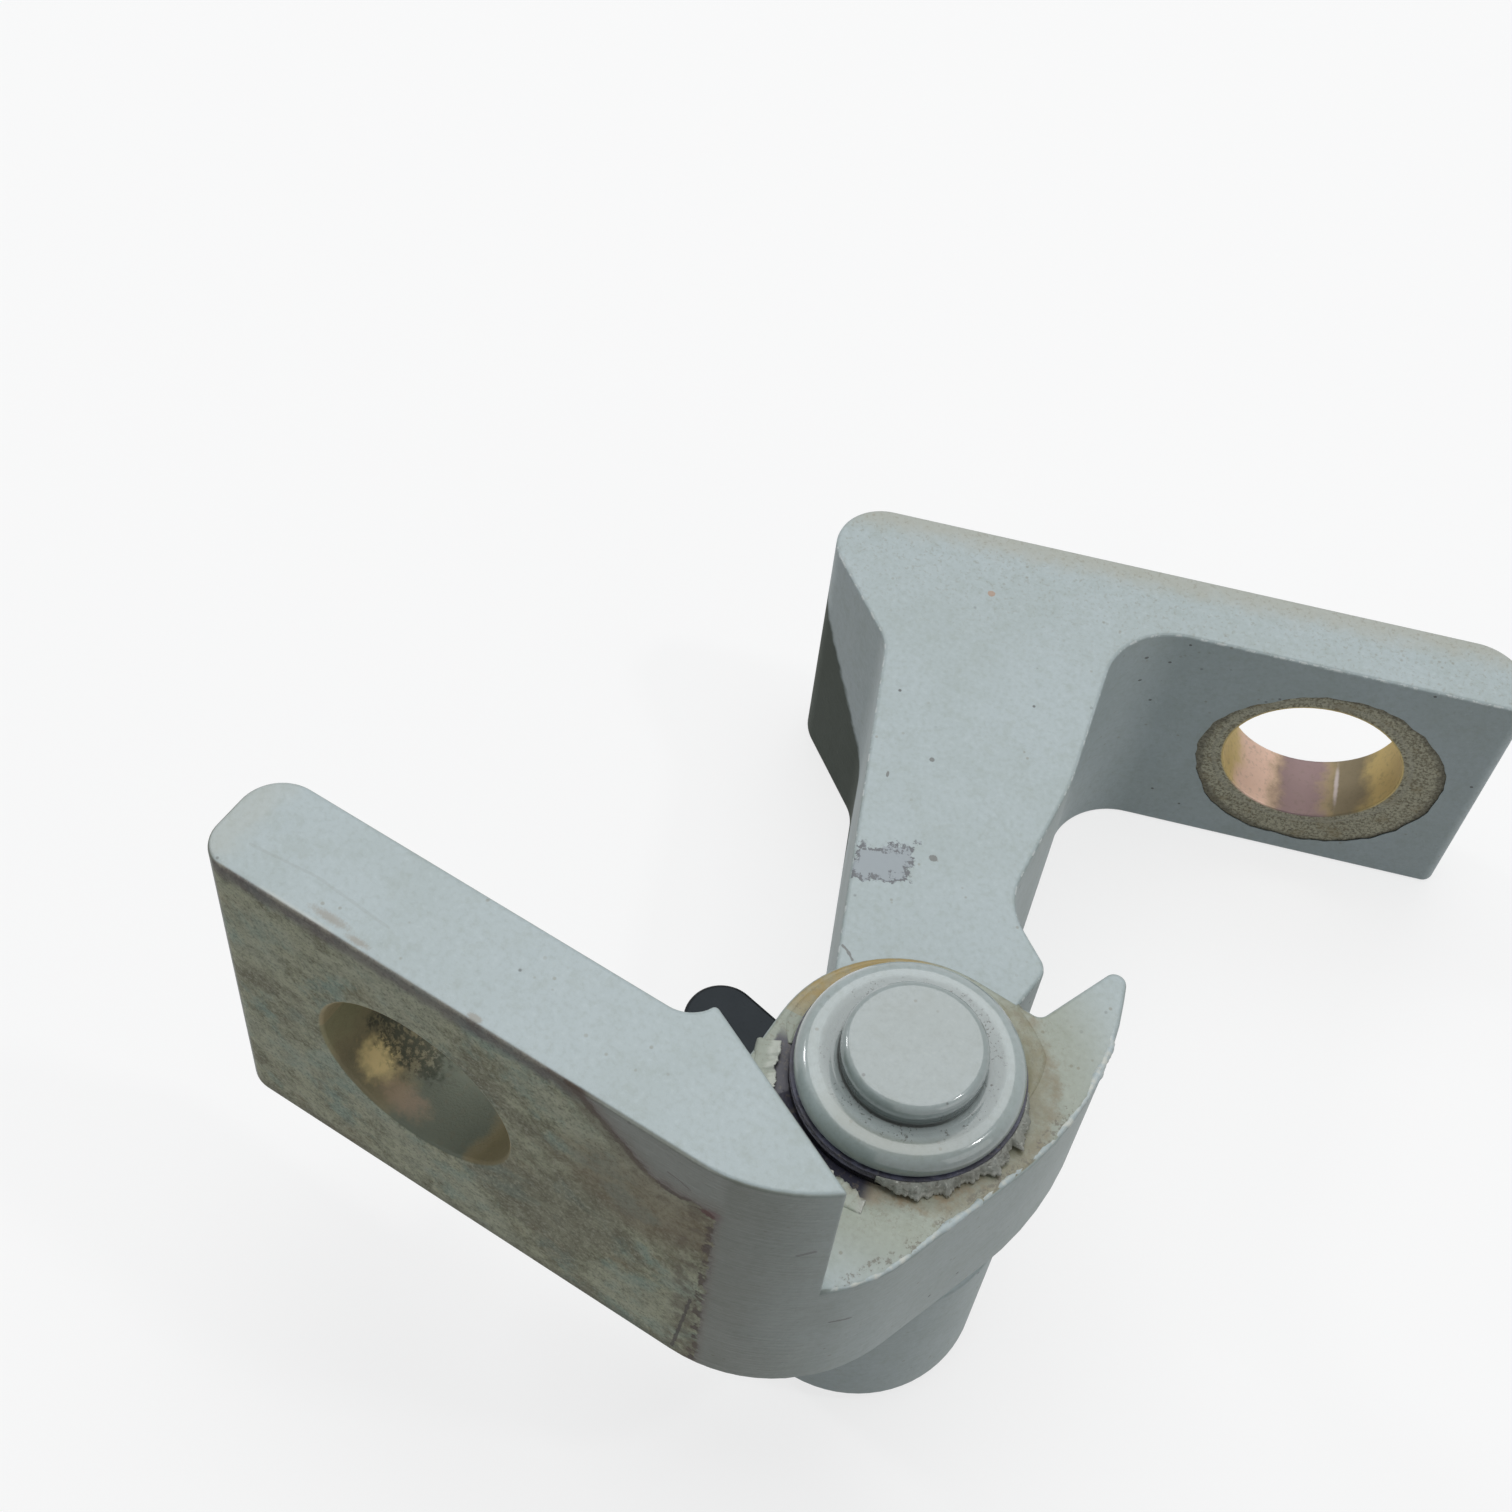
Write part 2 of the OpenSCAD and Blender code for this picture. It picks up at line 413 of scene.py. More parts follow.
def painted_colour(recipe):
    clouds = recipe.grain(8.0, 4.0, 0.55, seed=1.0)
    dust = recipe.grain(0.45, 3.0, 0.6, seed=2.0)
    colour = recipe.mix(clouds.above(0.36, 0.68) * 0.55, PAINT, "#A3AFAE")
    colour = recipe.mix(dust.above(0.45, 0.75) * 0.3, colour, "#8F9892")
    colour = recipe.mix(dust.below(0.3, 0.44) * 0.25, colour, "#BCC7C8")
    brown = dots(recipe, 1.1, 0.16, 3.0, 0.52)
    dark = dots(recipe, 2.6, 0.07, 4.0, 0.46)
    mottled = recipe.grain(1.5, 5.0, 0.7, seed=4.8)
    colour = recipe.mix(mottled.above(0.5, 0.68) * 0.3, colour, "#98A29C")
    colour = recipe.mix(brown * 0.5, colour, "#7F7B6A")
    return recipe.mix(dark * 0.85, colour, "#3F3D3A")


def paint_height(recipe):
    """Orange peel and grit under the paint, in parts of the bump's depth."""
    grit = recipe.cells(0.9, 5.5).below(0.02, 0.2)
    peel = recipe.grain(1.1, 2.0, seed=5.0)
    fine = recipe.grain(0.22, 3.0, 0.6, seed=6.0)
    return peel * 0.7 + fine * 0.35 + grit * 0.3


def zinc_colour(recipe):
    blotch = recipe.grain(1.6, 6.0, 0.72, seed=7.0, warp=0.3)
    teal = recipe.grain(4.0, 5.0, 0.68, seed=8.0)
    rust = recipe.grain(5.0, 5.0, 0.7, seed=8.6)
    grit = recipe.grain(0.3, 4.0, 0.75, seed=9.0)
    colour = recipe.mix(blotch.above(0.38, 0.6), "#7F7F66", "#BDBFA3")
    colour = recipe.mix(teal.above(0.48, 0.64) * 0.7, colour, "#93AB9F")
    colour = recipe.mix(rust.above(0.54, 0.7) * 0.45, colour, "#8C7B5C")
    broad = recipe.grain(11.0, 4.0, 0.6, seed=9.6)
    colour = recipe.mix(broad.above(0.5, 0.62) * 0.45, colour, "#C6CBB4")
    colour = recipe.mix(broad.below(0.4, 0.5) * 0.55, colour, "#6B6652")
    colour = recipe.mix(grit.above(0.52, 0.62) * 0.45, colour, "#D6D5C2")
    return recipe.mix(grit.below(0.38, 0.47) * 0.5, colour, "#454334")


def zinc_height(recipe):
    return recipe.grain(0.22, 4.0, 0.65, seed=10.0) + recipe.grain(1.2, 3.0, 0.6, seed=10.4) * 0.6


print("paint", PAINT)

# %% [markdown]
# ## Bolt holes
# The holes were covered by the bolts, so they kept their yellow chromate: bands of gold, pink
# and dark purple that follow the angle round the bore. A band is a mask on that angle, and the
# far side of the bore, which the photograph never shows, gets the same gold.

# %% Chromate by angle


def chromate(recipe, angle, first, bands, seed):
    """Colour round a bore. A band is (from, to, colour) in degrees."""
    wavy = angle + (recipe.grain(2.2, 4.0, 0.6, seed=seed) - 0.5) * 26.0
    colour = first
    for start, stop, shade in bands:
        colour = recipe.mix(wavy.between(start, stop, 9.0), colour, shade)
    lines = recipe.grain(0.5, 3.0, 0.6, seed + 1.0)
    return recipe.mix(lines.above(0.5, 0.7) * 0.25, colour, "#6E6550")


# %% [markdown]
# ## The body leaf
# The pillar side of the hinge. Its plate was bolted down before the car was painted, so its
# mounting face shows mottled zinc up to a ragged line of paint near the bend. Rust water ran
# from under the pin's washer over the top of the knuckle, and dust lies on all top faces.

# %% Body leaf: bare face and bend
PLATE_FACE_MM = -19.9
KNUCKLE_TOP_MM = 35.8
PLATE_TOP_MM = 51.2
PLATE_HOLE = (-27.0, 37.0)
BOLT_HOLE_R = 7.75
BORE_SKIN = (BOLT_HOLE_R + 0.12, BOLT_HOLE_R + 0.3)
PLATE_FOOT_MM = 20.4
BARE_TO_X = -3.6
SLANT_FROM_X, SLANT_FROM_MM, SLANT_RISE = -8.0, 45.6, 0.95
DARK_LINE = "#3B3029"
LEAF_BUMP_MM = 0.045


def bare_depth(recipe, x, z):
    """How far inside the bare zone a point of the mounting face lies: below 0 is paint."""
    torn = (recipe.grain(1.1, 4.0, 0.65, seed=11.0) - 0.5) * 1.5
    slanted = ((SLANT_FROM_X - x) * SLANT_RISE).highest(0.0) + SLANT_FROM_MM
    return (BARE_TO_X - x + torn).lowest(slanted - z + torn)


def plate_face_colour(recipe, x, z, depth, painted):
    """The mounting face: zinc, its paint line, painted shade on the paint beside the line, and the
    dark smears along its edges.
    """
    zinc = zinc_colour(recipe)
    smear = patch(recipe, x, z, (-8.5, 41.5), (6.5, 4.5), 0.5, 12.0, 0.4)
    zinc = recipe.mix(smear * 0.5, zinc, "#7C6750")
    foot = (z - PLATE_FOOT_MM + (recipe.grain(1.5, 3.0, seed=12.5) - 0.5) * 1.5).below(0.3, 1.9)
    zinc = recipe.mix(foot * 0.55, zinc, "#4E4A40")
    head = (PLATE_TOP_MM - z + (recipe.grain(1.2, 3.0, seed=12.8) - 0.5) * 1.2).below(0.7, 2.0)
    zinc = recipe.mix(head * 0.7, zinc, "#5B5358")
    # Painted shade: the paint on this face is darkened, and darker still towards the paint line.
    shaded_paint = recipe.tint(1.0, painted, "#C6BFB4")
    shaded_paint = recipe.tint(depth.above(-2.4, -0.2) * 0.8, shaded_paint, "#BFB2A4")
    colour = recipe.mix(depth.above(-0.04, 0.06), shaded_paint, zinc)
    broken = recipe.grain(0.9, 2.0, seed=13.0).above(0.42, 0.56)
    slope = (z - 45.0).above(0.0, 1.0)
    line = depth.between(-0.2, 0.55, 0.1) * broken
    line = line.highest(depth.between(-0.4, 1.0, 0.25) * slope * 0.85)
    colour = recipe.mix(line * 0.95, colour, DARK_LINE)
    # Browner on the zinc side of the paint line, most on the slope.
    spread = recipe.grain(1.4, 4.0, 0.65, seed=13.4).above(0.4, 0.6)
    browner_by_line = depth.between(-0.2, 2.4, 0.5) * spread.highest(slope * 0.8)
    colour = recipe.mix(browner_by_line * 0.6, colour, "#4F4133")
    crack = stroke(recipe, x, z, [(-4.5, 31.0), (-4.9, 26.5), (-5.4, 21.5)], 0.16, 14.0, 0.5)
    mark = stroke(recipe, x, z, [(-7.1, 47.7), (-6.2, 47.5), (-5.5, 47.1)], 0.13, 14.5, 0.4)
    red = patch(recipe, x, z, (-3.5, 45.3), (1.1, 0.5), 0.5, 14.8)
    colour = recipe.mix(crack * 0.85, colour, "#2E2826")
    colour = recipe.mix(mark * 0.7, colour, "#4A403A")
    return recipe.mix(red * 0.85, colour, "#45211C")


def bend_colour(recipe, x, y, z, colour):
    """The bend's paint: darker and browner towards the paint line than by the knuckle, with two
    dark marks.
    """
    cloud = (recipe.grain(5.0, 4.0, 0.6, seed=15.0) - 0.5) * 4.0
    darker_near_line = (x + cloud).below(-3.5, 7.5) * (y + 13.0).below(-3.0, 2.0)
    colour = recipe.tint(darker_near_line, colour, "#BDB8AD")
    high = stroke(recipe, x, z, [(1.5, 42.3), (2.3, 42.9)], 0.17, 15.5, 0.3)
    low = stroke(recipe, x, z, [(4.0, 30.4), (4.9, 30.1)], 0.15, 15.7, 0.3)
    strip = (y + 14.0).below(-0.5, 0.5)
    return recipe.mix((high + low) * strip * 0.8, colour, "#5A5A58")


# %% Body leaf: top faces


def plate_top_colour(recipe, x, y, colour):
    """Marks on the plate's top: two rusty smears, a scratch, and cream wear at the free end."""
    smears = patch(recipe, x, y, (-33.5, -18.9), (1.3, 0.3), 0.7, 16.0, 0.6)
    smears = smears.highest(patch(recipe, x, y, (-31.0, -19.3), (0.8, 0.22), 0.7, 16.2, 0.6))
    smears = smears.highest(patch(recipe, x, y, (-21.8, -19.5), (0.5, 0.25), 0.4, 16.4, 0.3))
    colour = recipe.mix(smears * 0.5, colour, "#857560")
    course = [(-41.0, -17.5), (-36.0, -17.0), (-30.0, -17.4)]
    scratch = stroke(recipe, x, y, course, 0.12, 16.6, 0.5)
    colour = recipe.mix(scratch * 0.18, colour, "#83857D")
    cream = (x + (recipe.grain(2.0, 3.0, seed=16.8) - 0.5) * 3.0).below(-42.6, -40.6)
    colour = recipe.mix(cream * 0.25, colour, "#B4B2A4")
    chipped = (y - PLATE_FACE_MM).below(0.15, 0.5) * (x + 35.5).size().below(2.0, 3.5)
    return recipe.mix(chipped * 0.5, colour, "#D2D3CB")


def knuckle_top_colour(recipe, x, y, colour, stripped_share=1.0):
    """Dust and rust on the knuckle's top, which spread from under the washer."""
    radius = far_from(x, y, (0.0, 0.0))
    angle = turn_about(x, y)
    torn = (recipe.grain(1.3, 4.0, 0.65, seed=17.0) - 0.5) * 2.4
    colour = recipe.tint(radius.below(11.0, 18.0), colour, "#E2DDCB")
    reach = 8.2 + angle.above(-78.0, -40.0) * 2.3
    ahead = angle.between(-80.0, 76.0, 9.0)
    brown = ahead * (radius + torn - reach).below(-0.7, 0.5)
    rim = ahead * (radius + torn - reach).between(-0.75, 0.1, 0.3)
    blotch = recipe.grain(1.7, 5.0, 0.65, seed=17.3).above(0.38, 0.62)
    colour = recipe.tint(brown * (0.5 + blotch * 0.45), colour, "#DACBB3")
    rusty = angle.between(-112.0, -20.0, 14.0) * (radius + torn).below(8.9, 10.2)
    colour = recipe.mix(rusty * blotch * 0.45, colour, "#8D6D4C")
    colour = recipe.mix(rim * blotch * 0.3, colour, "#7D6A50")
    ochre = angle.between(108.0, 178.0, 12.0) * (radius + torn * 0.5).below(9.8, 10.8)
    colour = recipe.mix(ochre * (0.55 + blotch * 0.4), colour, "#98834E")
    stripped = angle.between(-169.0, -77.0, 4.0) * (radius + torn * 0.3).below(9.35, 9.6)
    colour = recipe.mix(stripped * stripped_share, colour, "#33333F")
    edge = [(3.9, -15.0), (6.4, -10.4), (9.8, -1.2), (10.6, 5.0)]
    front = stroke(recipe, x, y, edge, 0.5, 17.7, 0.5)
    dirt = recipe.grain(0.5, 4.0, 0.7, seed=17.8).above(0.5, 0.6)
    colour = recipe.mix(front * dirt * 0.7, colour, "#5E574A")
    grit = recipe.grain(0.3, 3.0, 0.65, seed=17.5).above(0.52, 0.68)
    near = (radius + torn).below(9.0, 13.5)
    return recipe.mix(grit * near * 0.45, colour, "#736B5A")


# %% Body leaf: the whole finish


def sawn_lines(recipe, seed):
    """Fine level lines of the rolled bar's skin, which show through the paint of the walls."""
    flat = recipe.stretched(0.16, 0.16, 2.2)
    return recipe.grain(0.8, 3.0, 0.6, seed, place=flat)


def body_finish(name):
    recipe = Recipe(name)
    x, y, z = recipe.xyz()
    level = recipe.level()
    depth = bare_depth(recipe, x, z)
    on_face = (y - PLATE_FACE_MM).below(0.12, 0.3) * (x + 1.0).below(-1.5, 1.0)
    bore = far_from(x, z, PLATE_HOLE)
    in_bore = bore.below(*BORE_SKIN) * (x + 17.0).below(-0.1, 0.1)
    up = level.above(0.6, 0.9)
    painted = painted_colour(recipe)
    # Painted shade: the walls take the paint darkened by #E9E9E5, so they come out darker than the
    # top faces.
    colour = bend_colour(recipe, x, y, z, recipe.tint(1.0, painted, "#E9E9E5"))
    top = plate_top_colour(recipe, x, y, painted)
    knuckle = knuckle_top_colour(recipe, x, y, painted)
    high = (z - 43.0).above(-1.0, 1.0)
    colour = recipe.mix(up, colour, recipe.mix(high, knuckle, top))
    bare = on_face * depth.above(-0.04, 0.06)
    colour = recipe.mix(on_face, colour, plate_face_colour(recipe, x, z, depth, painted))
    angle = turn_about(x - PLATE_HOLE[0], z - PLATE_HOLE[1])
    hole = chromate(recipe, angle, "#9E9272", [
        (-200.0, -156.0, "#8F8B6C"), (-156.0, -112.0, "#7A735A"),
        (-112.0, -56.0, "#676D60"), (-56.0, 0.0, "#7B7356")], 18.0)
    streak = patch(recipe, angle, y, (-133.0, -17.4), (11.0, 1.3), 0.6, 18.3, 0.6)
    hole = recipe.mix(streak * 0.75, hole, "#EBD59A")
    pinkish = patch(recipe, angle, y, (-108.0, -18.3), (13.0, 0.9), 0.6, 18.4, 0.7)
    hole = recipe.mix(pinkish * 0.6, hole, "#A8927C")
    crust = patch(recipe, angle, y, (-128.0, -14.9), (28.0, 2.0), 0.7, 18.5, 0.3)
    crumbs = recipe.grain(0.45, 4.0, 0.7, seed=18.6).above(0.4, 0.54)
    hole = recipe.mix(crust * crumbs * 0.85, hole, "#353A2F")
    colour = recipe.mix(in_bore, colour, hole)
    bare = bare.highest(in_bore)
    walls = 1.0 - level.size().above(0.5, 0.8)
    height = (paint_height(recipe) + sawn_lines(recipe, 19.0) * walls * 1.3) * (1.0 - bare)
    height = height + zinc_height(recipe) * bare * 1.4
    shine = 0.34 + bare * 0.2 + recipe.grain(2.5, 3.0, seed=19.5) * 0.12 + walls * 0.1
    return recipe.finish(colour, shine, height, LEAF_BUMP_MM, metallic=in_bore * 0.45)


def add_body_leaf():
    work = joined_copy("body_leaf")
    round_edges(work, PAINTED_EDGE_MM)
    finish = body_finish("body_leaf_finish")
    return add_piece("body_leaf_piece", work, "body_side", finish, "body_leaf")


add_body_leaf()

# %% [markdown]
# ## The door leaf
# The side that carries the door. Its bolt's head kept the paint off a ring round the hole, and
# the paint broke off round it in a ragged line. A mask in the finish could fake that, but paint
# has thickness: a thin ragged disc is cut out with a Boolean, and the finish is bare in it.

# %% Door leaf: the ring without paint
DOOR_TURN = math.radians(19.4)
FLANGE_FACE_V = 52.4
FLANGE_TOP_MM = 26.8
FLANGE_HOLE = (30.0, 13.4)
PRINT_CENTRE = (30.8, 12.6)
PRINT_R = 10.7
PAINT_THICK_MM = 0.14


def door_point(u, v, z):
    """A point given along and across the door leaf's arm, in metres of the part's frame."""
    turned = Matrix.Rotation(DOOR_TURN, 3, "Z") @ Vector((u, v, z))
    return turned * MM


def print_outline(steps=96):
    """The ragged edge of the broken paint, as points (u, z) in millimetres."""
    luck = random.Random(7)
    wave = [luck.uniform(-1.0, 1.0) for step in range(steps)]
    outline = []
    for step in range(steps):
        angle = 2 * math.pi * step / steps
        broad = 0.22 * math.sin(2 * angle + 0.8) + 0.13 * math.sin(5 * angle)
        radius = PRINT_R + broad + 0.13 * (wave[step] + 0.6 * wave[step - 1])
        outline.append((PRINT_CENTRE[0] + radius * math.cos(angle),
                        PRINT_CENTRE[1] + radius * math.sin(angle)))
    return outline


def prism(outline, start_v, stop_v):
    """A closed prism on the outline, along the arm."""
    work = bmesh.new()
    rings = [[work.verts.new(door_point(u, v, z)) for u, z in outline] for v in (start_v, stop_v)]
    work.faces.new(rings[0])
    work.faces.new(rings[1])
    for step in range(len(outline)):
        nearby = (step + 1) % len(outline)
        work.faces.new([rings[0][step], rings[0][nearby], rings[1][nearby], rings[1][step]])
    bmesh.ops.recalc_face_normals(work, faces=work.faces)
    return work


def loose_object(name, work):
    mesh = bpy.data.meshes.new(name)
    work.to_mesh(mesh)
    work.free()
    made = bpy.data.objects.new(name, mesh)
    bpy.context.scene.collection.objects.link(made)
    return made


def carved(work, cutter):
    """The first shape less the second."""
    stock, knife = loose_object("stock", work), loose_object("knife", cutter)
    carve = stock.modifiers.new("carve", "BOOLEAN")
    carve.operation = "DIFFERENCE"
    carve.solver = "EXACT"
    carve.object = knife
    graph = bpy.context.evaluated_depsgraph_get()
    shape = bpy.data.meshes.new_from_object(stock.evaluated_get(graph))
    left = bmesh.new()
    left.from_mesh(shape)
    for spare in (stock, knife):
        mesh = spare.data
        bpy.data.objects.remove(spare)
        bpy.data.meshes.remove(mesh)
    bpy.data.meshes.remove(shape)
    print("carved shape has", len(left.faces), "faces")
    return left


# %% Door leaf: marks


def door_axes(recipe):
    """Along and across the arm, from the part's own axes."""
    x, y, z = recipe.xyz()
    cos, sin = math.cos(DOOR_TURN), math.sin(DOOR_TURN)
    return x * cos + y * sin, y * cos - x * sin, z


SCRAPE_CENTRE = (-5.2, 22.9)


def arm_top_colour(recipe, u, v, colour):
    """Marks on the arm's top: a scraped patch, cracks, a rust spot, dust along the far edge."""
    worn = (recipe.grain(0.9, 4.0, 0.7, seed=20.0) - 0.5) * 3.4
    along, across = u - SCRAPE_CENTRE[0], v - SCRAPE_CENTRE[1]
    long, wide = along.size() - 2.3, (across + along * -0.25).size() - 1.6
    outside = long.highest(wide) + worn
    scrape = outside.below(-0.15, 0.15)
    broken = recipe.grain(0.5, 4.0, 0.7, seed=20.5).above(0.42, 0.52)
    edge = outside.between(-0.45, 0.1, 0.1) * broken
    colour = recipe.mix(scrape * 0.85, colour, "#949CA2")
    colour = recipe.mix(edge * 0.8, colour, "#4B4C50")
    nicks = patch(recipe, u, v, (-1.3, 24.4), (0.35, 0.3), 0.5, 20.7)
    nicks = nicks.highest(patch(recipe, u, v, (-3.1, 33.7), (0.22, 0.22), 0.3, 20.8))
    nicks = nicks.highest(patch(recipe, u, v, (-6.3, 31.3), (0.12, 0.3), 0.3, 20.9))
    crack = stroke(recipe, u, v, [(-6.6, 14.8), (-6.1, 14.4), (-5.6, 13.7)], 0.13, 21.0, 0.6)
    colour = recipe.mix(nicks.highest(crack) * 0.75, colour, "#5D5B57")
    rust = patch(recipe, u, v, (-1.3, 52.2), (0.32, 0.32), 0.3, 21.3)
    colour = recipe.mix(rust * 0.6, colour, "#A9764A")
    dusty = (v + (recipe.grain(1.6, 4.0, 0.65, seed=21.5) - 0.5) * 3.0).above(55.6, 58.4)
    colour = recipe.mix(dusty * 0.5, colour, "#A8A390")
    specks = recipe.grain(0.35, 3.0, 0.7, seed=21.8).above(0.55, 0.66)
    specks = specks * (v - 40.0).above(0.0, 18.0)
    return recipe.mix(specks * 0.35, colour, "#7E7865")


def print_colour(recipe, u, z):
    """Bare metal under the bolt's head: olive-brown grit with a dark ragged rim."""
    radius = far_from(u, z, PRINT_CENTRE)
    grit = recipe.grain(0.28, 4.0, 0.7, seed=22.0)
    cloud = recipe.grain(2.0, 4.0, 0.6, seed=22.3)
    colour = recipe.mix(grit.above(0.4, 0.58), "#827C68", "#C4C0A8")
    colour = recipe.mix(cloud.above(0.5, 0.68) * 0.5, colour, "#8F8161")
    pits = recipe.cells(0.7, 22.8).below(0.1, 0.22)
    colour = recipe.mix(pits * 0.6, colour, "#3E3A30")
    torn = (recipe.grain(0.6, 3.0, 0.6, seed=22.5) - 0.5) * 1.4
    rim = (radius + torn).above(PRINT_R - 0.75, PRINT_R - 0.2)
    colour = recipe.mix(rim * 0.6, colour, "#4C483D")
    pressed = (far_from(u, z, FLANGE_HOLE) + torn * 0.5).between(8.4, 8.8, 0.15)
    return recipe.mix(pressed * 0.35, colour, "#C2BFAE")


LUG_END = (-14.5, 10.6)
LUG_TURN = math.radians(30)
LUG_HALF_WIDTH = 3.3


def lug_mask(u, v, radius):
    """The short lug behind the knuckle, which is coated black."""
    cos, sin = math.cos(LUG_TURN), math.sin(LUG_TURN)
    du, dv = u - LUG_END[0], v - LUG_END[1]
    along, across = du * cos - dv * sin, du * sin + dv * cos
    length = along.above(-LUG_HALF_WIDTH - 0.3, -LUG_HALF_WIDTH) * along.below(9.0, 9.4)
    width = across.size().below(LUG_HALF_WIDTH, LUG_HALF_WIDTH + 0.2)
    return length * width * radius.above(9.95, 10.1)


# %% Door leaf: the whole finish
WALL_SPECKS = [(15.0, 23.0), (13.0, 20.5), (14.5, 17.5), (43.7, 15.4), (37.0, 26.2)]


def door_finish(name):
    recipe = Recipe(name)
    u, v, z = door_axes(recipe)
    level = recipe.level()
    up = level.above(0.6, 0.9)
    painted = painted_colour(recipe)
    # Painted shade: the walls nearer the pin take the paint darkened by #EDEEEC.
    wall = recipe.tint((v - 30.0).below(0.0, 8.0), painted, "#EDEEEC")
    specks = patch(recipe, u, z, (12.9, 23.7), (0.17, 0.17), 0.4, 23.0)
    for number, spot in enumerate(WALL_SPECKS):
        specks = specks.highest(patch(recipe, u, z, spot, (0.15, 0.13), 0.5, 23.2 + number))
    wall = recipe.mix(specks * 0.8, wall, "#33322F")
    # Painted shadow: the lower part of the stub's end wall, below a slanted line, is painted dark
    # and made rougher.
    slanted = z - 14.0 - (v - 49.2) * 1.18 + (recipe.grain(1.2, 3.0, seed=24.0) - 0.5) * 1.6
    on_stub = u.below(-8.0, -6.0) * v.above(38.0, 40.0) * v.below(56.0, 58.6)
    stub_painted_shadow = slanted.below(-0.5, 0.9) * on_stub
    wall = recipe.mix(stub_painted_shadow * 0.9, wall, "#3E4337")
    colour = recipe.mix(up, wall, arm_top_colour(recipe, u, v, painted))
    print_floor = v.between(FLANGE_FACE_V + 0.07, FLANGE_FACE_V + 0.9, 0.02)
    radius = far_from(u, z, PRINT_CENTRE)
    bare = print_floor * radius.below(12.4, 12.6)
    chipped = recipe.grain(0.8, 4.0, 0.7, seed=24.6).above(0.52, 0.58)
    rim_worn = z.above(FLANGE_TOP_MM - 0.38, FLANGE_TOP_MM - 0.2) * (1.0 - up) * chipped
    colour = recipe.mix(rim_worn * 0.7, colour, "#D7DCDA")
    colour = recipe.mix(bare, colour, print_colour(recipe, u, z))
    hole = far_from(u, z, FLANGE_HOLE)
    in_bore = hole.below(*BORE_SKIN) * v.above(45.0, 46.0)
    angle = turn_about(u - FLANGE_HOLE[0], z - FLANGE_HOLE[1])
    # Painted highlight: a small pale oval in the bore stands in for a glint.
    streak = patch(recipe, angle, v, (-60.0, 56.0), (1.3, 1.9), 0.5, 25.5, 0.7)
    inside = chromate(recipe, angle, "#C9B47C", [
        (-136.0, -102.0, "#E3C4B2"), (-102.0, -66.0, "#8F7A7A"),
        (-66.0, -36.0, "#857A62")], 25.0)
    inside = recipe.mix(streak * 0.5, inside, "#E6DBE2")
    colour = recipe.mix(in_bore, colour, inside)
    bare = bare.highest(in_bore)
    lug = lug_mask(u, v, far_from(u, v, (0.0, 0.0)))
    colour = recipe.mix(lug, colour, "#1B1F22")
    walls = 1.0 - level.size().above(0.5, 0.8)
    height = (paint_height(recipe) + sawn_lines(recipe, 26.0) * walls * 0.9) * (1.0 - bare)
    height = height + zinc_height(recipe) * bare * (1.0 - in_bore * 0.8)
    shine = 0.34 + bare * 0.18 + recipe.grain(2.5, 3.0, seed=26.5) * 0.12
    shine = shine + walls * 0.12 + stub_painted_shadow * 0.4
    return recipe.finish(colour, shine, height, LEAF_BUMP_MM, metallic=in_bore * 0.5 + lug * 0.85)


def add_door_leaf():
    work = joined_copy("door_leaf")
    round_edges(work, PAINTED_EDGE_MM)
    knife = prism(print_outline(), FLANGE_FACE_V - 1.0, FLANGE_FACE_V + PAINT_THICK_MM)
    work = carved(work, knife)
    finish = door_finish("door_leaf_finish")
    return add_piece("door_leaf_piece", work, "door_side", finish, "door_leaf")


add_door_leaf()

# %% [markdown]
# ## The pin and its washer
# The pin holds the two leaves together, and its head clamps a thick washer. Both are lathed: a
# profile with rounded corners is turned round the axis. The solids' own mesh would do from
# afar, but the washer's soft rim catches the bright dots of light, so it gets more steps.

# %% Lathe
TURN_STEPS = 144


def rounded_profile(corners, steps=7):
    """Points of a profile whose corners (radius from the axis, height, rounding) are rounded."""
    points = []
    for index, (r, z, rounding) in enumerate(corners):
        here = Vector((r, z))
        if rounding == 0:
            points.append(here)
            continue
        before = Vector(corners[index - 1][:2]) - here
        after = Vector(corners[(index + 1) % len(corners)][:2]) - here
        before.normalize()
        after.normalize()
        half = before.angle(after) / 2
        reach = rounding / math.tan(half)
        middle = here + (before + after).normalized() * rounding / math.sin(half)
        start, stop = here + before * reach - middle, here + after * reach - middle
        for step in range(steps + 1):
            mixed = start.slerp(stop, step / steps)
            points.append(middle + mixed.normalized() * rounding)
    return points


def lathe(corners, closed):
    """Turn a profile round the pin's axis. A closed one makes a ring, an open one a full bar."""
    work = bmesh.new()
    rings = []
    for r, z in rounded_profile(corners):
        if r < 1e-6:
            rings.append([work.verts.new((0.0, 0.0, z * MM))])
            continue
        turns = [2 * math.pi * step / TURN_STEPS for step in range(TURN_STEPS)]
        rings.append([work.verts.new((r * MM * math.cos(turn), r * MM * math.sin(turn), z * MM))
                      for turn in turns])
    pairs = list(zip(rings, rings[1:])) + ([(rings[-1], rings[0])] if closed else [])
    for lower, upper in pairs:
        for step in range(TURN_STEPS):
            nearby = (step + 1) % TURN_STEPS
            quad = [lower[step % len(lower)], lower[nearby % len(lower)],
                    upper[nearby % len(upper)], upper[step % len(upper)]]
            work.faces.new(list(dict.fromkeys(quad)))
    return work


# %% Pin and washer: finish
PIN_R = 4.0
HEAD_TOP_MM = 41.1
HEAD_R = 5.05
SEAT_MM = 38.88
SEAT_R = 6.25
WASHER_R = 8.0
WASHER_FOOT_MM = 37.2
WASHER_TOP_MM = 39.0


